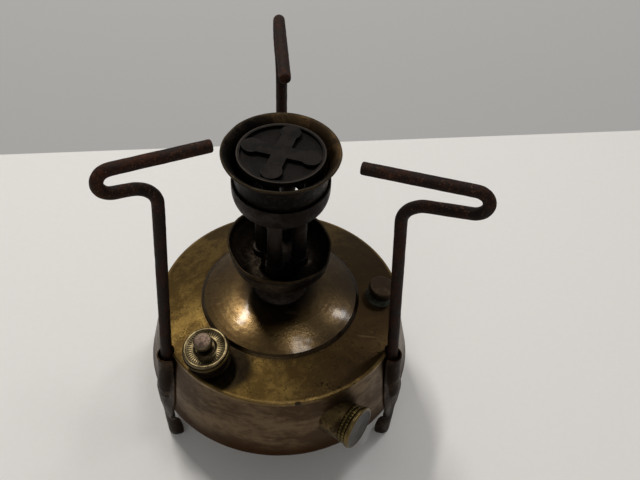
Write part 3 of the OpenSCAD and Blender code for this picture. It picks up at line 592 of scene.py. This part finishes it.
# Filler cap, turned brass on a wider foot, with a sunk band of plain radial ticks round a raised seat
# for the air screw. Handling has kept its edge and its band golden, and dirt sits in the ticks.
FILLER_SEAT = seat(-131.5, (61.2, 0, 89.671), 11.109)
CAP_SEAT_Z = 10.0
FILLER_THREAD = ((2.7, 1.05), (8.0, 1.05), (8.55, 1.5), (8.55, CAP_SEAT_Z))
FILLER_HEAD = ((13.5, 0.03), (13.8, 0.2), (13.88, 0.5), (13.85, 0.95), (13.6, 1.25), (12.75, 1.45),
               (12.65, 1.7), (13.0, 1.95), (13.08, 2.3), (13.08, 3.2), (12.9, 3.7), (12.4, 3.97),
               (11.5, 3.97), (11.1, 3.75), (10.9, 3.6), (7.0, 3.58), (6.6, 3.68), (6.2, 4.1), (5.8, 4.33),
               (5.2, 4.38), (2.7, 4.38))
FILLER_TICKS = 44
FILLER_STEPS = 128
FILLER_WAIST = 1.6
FILLER_BROWN = rgb(0.060, 0.045, 0.022)
FILLER_GOLD = rgb(0.165, 0.128, 0.066)
FILLER_SIDE = rgb(0.058, 0.038, 0.012)
FILLER_GROOVE = rgb(0.016, 0.010, 0.004)
FILLER_MIDDLE = rgb(0.030, 0.022, 0.012)
FILLER_TICK = rgb(0.014, 0.010, 0.005)
FILLER_DIRT = rgb(0.040, 0.028, 0.012)


def filler_cap_finish():
    metal = Finish("filler_cap_brass")
    metal.turn_to(FILLER_SEAT)
    r = metal.radius()
    level = metal.z - CAP_SEAT_Z
    fine = metal.noise(2.5, 5, 0.65)
    worn = metal.noise(9, 4, 0.6, 0.4).fade(0.4, 0.6)
    on_face = level.fade(3.2, 3.5)
    on_band = r.fade(10.5, 10.2) * r.fade(7.6, 7.9) * on_face
    tick = metal.ticks(FILLER_TICKS) * on_band
    waist = (1 - (level - FILLER_WAIST).absolute() / 0.5).clamp()
    color = metal.mix(worn, FILLER_BROWN, FILLER_GOLD)
    color = metal.mix(level.fade(3.3, 2.9) * 0.85, color, FILLER_SIDE)
    color = metal.mix(waist * 0.9, color, FILLER_GROOVE)
    color = metal.mix(r.fade(7.6, 6.2) * on_face * 0.85, color, FILLER_MIDDLE)
    color = metal.mix((tick * (0.6 + 0.7 * fine)).clamp(), color, FILLER_TICK)
    color = metal.mix(fine.fade(0.55, 0.68) * 0.5, color, FILLER_DIRT)
    return metal.done(color, 0.3 + 0.15 * fine + 0.2 * tick, 1.0, fine * 0.4 - tick, 0.25)


filler_outline = list(FILLER_THREAD) + [(r, CAP_SEAT_Z + h) for r, h in FILLER_HEAD]
filler_turning = spun(filler_outline, FILLER_STEPS)
cap = seated("turned_filler_cap", filler_turning, FILLER_SEAT, filler_cap_finish(), "filler")
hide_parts("filler_cap")

# Air screw, a small turned button on the filler cap that lets the tank's pressure out. Its flat top is
# sooty, and its edge carries a painted highlight.
BUTTON_DARK = rgb(0.022, 0.015, 0.011)
BUTTON_BROWN = rgb(0.050, 0.035, 0.026)
BUTTON_EDGE_HIGHLIGHT = rgb(0.20, 0.155, 0.09)


def air_screw_finish():
    metal = Finish("air_screw_brass")
    metal.turn_to(FILLER_SEAT)
    fine = metal.noise(2, 5, 0.65)
    color = metal.mix(fine.fade(0.42, 0.6), BUTTON_DARK, BUTTON_BROWN)
    # Painted highlight round the button's edge.
    color = metal.mix(metal.radius().fade(4.1, 4.9) * 0.7, color, BUTTON_EDGE_HIGHLIGHT)
    return metal.done(color, 0.3 + 0.12 * fine, 1.0, fine, 0.06)


dress(air_screw_finish(), "air_screw")

# Spirit cup, spun from thin brass and burnt nearly black. It leans a little, its front has been
# pushed flat between two soft corners, and its inside holds ash and scale.
CUP_FLOOR = 117.6
CUP_RIM = 138.8
CUP_R = 29.4
CUP_FOOT_R = 15.0
CUP_HOLE_R = 8.4
CUP_LEAN = -0.071
CUP_DENTS = 0.35
CUP_RIM_WAVE = 0.4
BURNT_SHEET = 0.8
CUP_PUSHED = ((-180, 0.4), (-154, 0.2), (-128, 1.3), (-98, 0.1), (-62, 0.0), (-39, 1.0), (-14, -0.8),
              (10, -0.5), (35, 0.1), (100, 0.4), (150, 0.9), (180, 0.4))
CUP_ASHY = rgb(0.085, 0.062, 0.042)
CUP_RIM_BROWN = rgb(0.046, 0.031, 0.015)


def sheet_outline(middle, thick, lip):
    """Closed outline round a line of (radius, height) points, thicker by a share of lip at its end."""
    last = len(middle) - 1
    sides = []
    for i in range(last + 1):
        ahead = middle[min(i + 1, last)]
        behind = middle[max(i - 1, 0)]
        run, rise = ahead[0] - behind[0], ahead[1] - behind[1]
        half = thick / 2 * (1 + lip * eased(last - 3, last, i)) / math.hypot(run, rise)
        sides.append((rise * half, -run * half))
    outer = [(r + dr, z + dz) for (r, z), (dr, dz) in zip(middle, sides)]
    inner = [(r - dr, z - dz) for (r, z), (dr, dz) in zip(middle, sides)]
    return outer + inner[::-1]


def quarter(start, low, wide, tall, angles, upright):
    """A quarter of an ellipse from (start, low), which ends upright or ends level."""
    points = []
    for degrees in angles:
        sine = math.sin(math.radians(degrees))
        rest = 1 - math.cos(math.radians(degrees))
        out, up = (sine, rest) if upright else (rest, sine)
        points.append((start + wide * out, low + tall * up))
    return points


def burnt_finish(name, bare, black, ash, ash_amount, glow):
    """Burnt brass: black with bare patches and a crust of ash, and glow adds what one piece has more."""
    metal = Finish(name)
    broad = metal.noise(16, 5, 0.62, 0.6)
    fine = metal.noise(3, 6, 0.68, 0.2)
    grit = metal.noise(0.8, 3, 0.6)
    worn = (broad * 0.6 + fine * 0.4).fade(0.45, 0.6)
    color = glow(metal, metal.mix(worn, black, bare), broad, fine)
    crust = (fine * 0.45 + grit * 0.55).fade(0.55, 0.66) * ash_amount
    color = metal.mix(crust, color, ash)
    rough = 0.42 + 0.2 * (1 - worn) + 0.25 * crust
    return metal.done(color, rough, 1 - 0.5 * crust, fine * 0.6 + grit * 0.4, 0.22)


def cup_glow(metal, color, broad, fine):
    """Ash that lies in the cup on its left, and a browner rim."""
    on_left = (metal.x + metal.y * 0.4).fade(0, -15) * metal.z.fade(138, 134)
    ashy = on_left * (0.15 + 0.5 * metal.z.fade(120, 127) + 0.5 * fine.fade(0.45, 0.6))
    rim = metal.z.fade(135.6, 138.4) * (0.35 + 0.5 * fine)
    color = metal.mix(ashy.clamp(), color, CUP_ASHY)
    return metal.mix(rim.clamp(), color, CUP_RIM_BROWN)


def battered_cup():
    middle = [(CUP_HOLE_R, CUP_FLOOR + 0.4), (CUP_FOOT_R - 2, CUP_FLOOR + 0.4)]
    middle += quarter(CUP_FOOT_R, CUP_FLOOR + 0.5, CUP_R - CUP_FOOT_R, CUP_RIM - CUP_FLOOR - 0.5,
                      range(6, 91, 7), True)
    made = spun(sheet_outline(middle, BURNT_SHEET, 0.3))
    for vert in made.verts:
        x, y, z = vert.co / MM
        high = eased(CUP_FLOOR + 2, CUP_RIM, z)
        pushed = from_table(CUP_PUSHED, math.degrees(math.atan2(y, x)))
        pushed += CUP_DENTS * noise.noise(Vector((x, y, z)) * 0.09)
        wider = 1 + pushed * high / max(math.hypot(x, y), 1)
        wave = CUP_RIM_WAVE * noise.noise(Vector((x, y, 3)) * 0.07)
        vert.co = Vector((x * wider, y * wider, z + (CUP_LEAN * x + wave) * high)) * MM
    return made


burnt_cup = burnt_finish("burnt_cup", rgb(0.011, 0.008, 0.0055), rgb(0.0045, 0.0035, 0.0028),
                         rgb(0.060, 0.048, 0.036), 0.5, cup_glow)
cup = keep("spirit_cup_bowl", battered_cup(), burnt_cup, "stove")
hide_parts("spirit_cup")

# Burner, four brass tubes brazed into a base, a bell and a head disc, all burnt to a dull grey-brown.
# The head's raised rim and the tops of its cross are the palest, and painted shade darkens the hollows.
HEAD_RIM_R = (22.3, 23.1)
HEAD_HOLLOW_Z = (207.2, 206.6)
HEAD_BLACK = rgb(0.0045, 0.0038, 0.003)
HEAD_BROWN = rgb(0.012, 0.009, 0.0075)
HEAD_RIM = rgb(0.042, 0.034, 0.027)
HEAD_HOLLOW_SHADE = rgb(0.004, 0.003, 0.0025)


def head_finish():
    head = Finish("burner_head_brass")
    fine = head.noise(3, 5, 0.65)
    worn = head.noise(11, 4, 0.6, 0.5).fade(0.4, 0.62)
    color = head.mix(worn, HEAD_BLACK, HEAD_BROWN)
    color = head.mix(head.radius().fade(*HEAD_RIM_R) * 0.7, color, HEAD_RIM)
    # Painted shade in the hollows between the arms of the cross.
    color = head.mix(head.z.fade(*HEAD_HOLLOW_Z) * (0.2 + 0.5 * worn), color, HEAD_HOLLOW_SHADE)
    return head.done(color, 0.5 + 0.15 * fine, 0.9, fine, 0.2)


burnt = aged_finish("burnt_brass", rgb(0.036, 0.028, 0.023), rgb(0.016, 0.012, 0.010),
                    rgb(0.005, 0.004, 0.003), 0.48)
dress(burnt, "neck_collar", "burner_base", "jet_holder", "burner_bell")
for number in range(1, 5):
    dress(burnt, "burner_tube_" + str(number))
dress(head_finish(), "burner_head")

# Flame ring, a loose ring of sheet that flares to a thin lip, burnt and slightly out of round. The
# flame has left its far side brown-gold.
ring_foot, ring_top = box_height("flame_ring")
RING_FOOT_R = 24.75
RING_LIP_R = 31.9
RING_STRAIGHT = 8
RING_WOBBLE = 0.35
RING_SAG = 1.2
FLAME_REAR = rgb(0.075, 0.045, 0.020)
FLAME_LIP = rgb(0.056, 0.040, 0.022)


def ring_glow(metal, color, broad, fine):
    """A brown-gold far side and a paler lip."""
    rear = (metal.x * 0.75 + metal.y * 0.66).fade(2, 26) * (0.35 + broad.fade(0.4, 0.6))
    lip = metal.radius().fade(29.5, 31.6) * (0.3 + 0.6 * fine)
    color = metal.mix(rear.clamp(), color, FLAME_REAR)
    return metal.mix(lip.clamp(), color, FLAME_LIP)


def bent_ring():
    flare_foot = ring_foot + RING_STRAIGHT
    middle = [(RING_FOOT_R, ring_foot + h) for h in (0.1, 2, 4, 6, RING_STRAIGHT)]
    middle += quarter(RING_FOOT_R, flare_foot, RING_LIP_R - RING_FOOT_R, ring_top - flare_foot - 0.3,
                      range(8, 91, 6), False)
    made = spun(sheet_outline(middle, BURNT_SHEET, 0.5))
    for vert in made.verts:
        x, y, z = vert.co / MM
        high = eased(flare_foot, ring_top, z)
        wobble = RING_WOBBLE * noise.noise(Vector((x, y, 9)) * 0.06) * high
        wider = 1 + wobble / 30
        vert.co = Vector((x * wider, y * wider, z - abs(wobble) * RING_SAG * high)) * MM
    return made


burnt_ring = burnt_finish("burnt_ring", rgb(0.020, 0.014, 0.010), rgb(0.007, 0.006, 0.005),
                          rgb(0.037, 0.031, 0.025), 0.35, ring_glow)
ring = keep("flared_ring", bent_ring(), burnt_ring, "ring")
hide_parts("flame_ring")

# Rods, three lengths of steel wire bent by hand over a former, each with its own reach. They are
# scaly with rust, darkest on the stems, with pale specks of ash and scale on the arms.
ROD_R = 3.5
BEND_R = 12.4
HOOK_R = 7.3
ROD_LEAN = 3.896
ROD_FOOT = (79.558, 0, 46.5)
ROD_STEP = 2.2
SCALE_DEPTH = 0.16
SCALE_COARSE = 420
SCALE_FINE = 1100
RUST_BLACK = rgb(0.006, 0.0025, 0.0014)
RUST_BROWN = rgb(0.026, 0.0085, 0.0036)
RUST_RED = rgb(0.058, 0.017, 0.006)
RUST_PALE = rgb(0.135, 0.080, 0.050)


def rust_finish():
    metal = Finish("rusty_steel")
    broad = metal.noise(14, 5, 0.65, 0.5)
    scale = metal.noise(2.2, 5, 0.7)
    grit = metal.noise(0.7, 2, 0.6)
    high = metal.z.fade(190, 212) + 0.5 * metal.z.fade(105, 80)
    worn = (broad * 0.5 + scale * 0.5).fade(0.44, 0.6)
    red = (broad * 0.4 + grit * 0.6).fade(0.52, 0.64)
    pale = (scale * 0.6 + grit * 0.4).fade(0.56, 0.66) * (0.1 + 0.6 * high)
    color = metal.mix(worn, RUST_BLACK, RUST_BROWN)
    color = metal.mix(red * (0.4 + 0.4 * high), color, RUST_RED)
    color = metal.mix(pale, color, RUST_PALE)
    metal.shader.inputs["Specular IOR Level"].default_value = 0.15
    return metal.done(color, 0.6 + 0.2 * worn + 0.1 * pale, 0.05, scale * 0.7 + grit * 0.3, 0.5)


def straight(made, edges, heading, length):
    """Draw a ring of edges out along a straight line, in short steps."""
    steps = max(1, round(length / ROD_STEP))
    step = Vector(heading).normalized() * (length * MM / steps)
    for _ in range(steps):
        drawn = bmesh.ops.extrude_edge_only(made, edges=edges)["geom"]
        edges = [g for g in drawn if isinstance(g, bmesh.types.BMEdge)]
        verts = [g for g in drawn if isinstance(g, bmesh.types.BMVert)]
        bmesh.ops.translate(made, verts=verts, vec=step)
    return edges


def wind(made, edges, x, z, angle, steps):
    """Turn a ring of edges round a bend in the rod's own plane."""
    drawn = bmesh.ops.spin(made, geom=edges, cent=(x * MM, 0, z * MM), axis=(0, 1, 0), angle=angle,
                           steps=steps, dvec=(0, 0, 0), use_merge=False)["geom_last"]
    return [g for g in drawn if isinstance(g, bmesh.types.BMEdge)]


def bent_rod(name, azimuth, body, turn, stem, reach, arm, finish):
    """A stem, a bend outwards, and a hook back to an arm that lies level when the stem leans."""
    lean = math.radians(ROD_LEAN)
    hook_x = reach - HOOK_R
    made = bmesh.new()
    bmesh.ops.create_circle(made, cap_ends=False, segments=20, radius=ROD_R * MM)
    foot = made.edges[:]
    edges = straight(made, foot, (0, 0, 1), stem - BEND_R)
    edges = wind(made, edges, BEND_R, stem - BEND_R, math.radians(90), 10)
    edges = straight(made, edges, (1, 0, 0), hook_x - BEND_R)
    edges = wind(made, edges, hook_x, stem + HOOK_R, lean - math.pi, 18)
    edges = straight(made, edges, (-math.cos(lean), 0, math.sin(lean)), hook_x + arm)
    for end in (foot, edges):
        bmesh.ops.edgeloop_fill(made, edges=end)
    bmesh.ops.remove_doubles(made, verts=made.verts, dist=0.01 * MM)
    bmesh.ops.recalc_face_normals(made, faces=made.faces)
    place = seat(azimuth, ROD_FOOT, -ROD_LEAN) @ Matrix.Rotation(math.radians(turn), 4, "Z")
    bmesh.ops.transform(made, matrix=place, verts=made.verts)
    made.normal_update()
    for vert in made.verts:
        scaly = noise.noise(vert.co * SCALE_COARSE) + 0.5 * noise.noise(vert.co * SCALE_FINE)
        vert.co -= vert.normal * MM * SCALE_DEPTH * (1 + scaly)
    rod = keep(name, made, finish, body)
    smooth = rod.modifiers.new("skin", "SUBSURF")
    smooth.levels = smooth.render_levels = 1
    return rod


# Each rod's azimuth and its turn in the socket in degrees, then its stem, reach and arm in millimetres.
rusty = rust_finish()
for side, azimuth, turn, stem, reach, arm in (
        ("left", 210, -9.3, 169.5, 28, 28.2),
        ("right", 330, 14, 159, 41.7, 22.1),
        ("back", 90, 3.5, 163, 32, 31)):
    rod = bent_rod("bent_rod_" + side, azimuth, side + "_rod", turn, stem, reach, arm, rusty)
    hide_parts("rod_" + side)
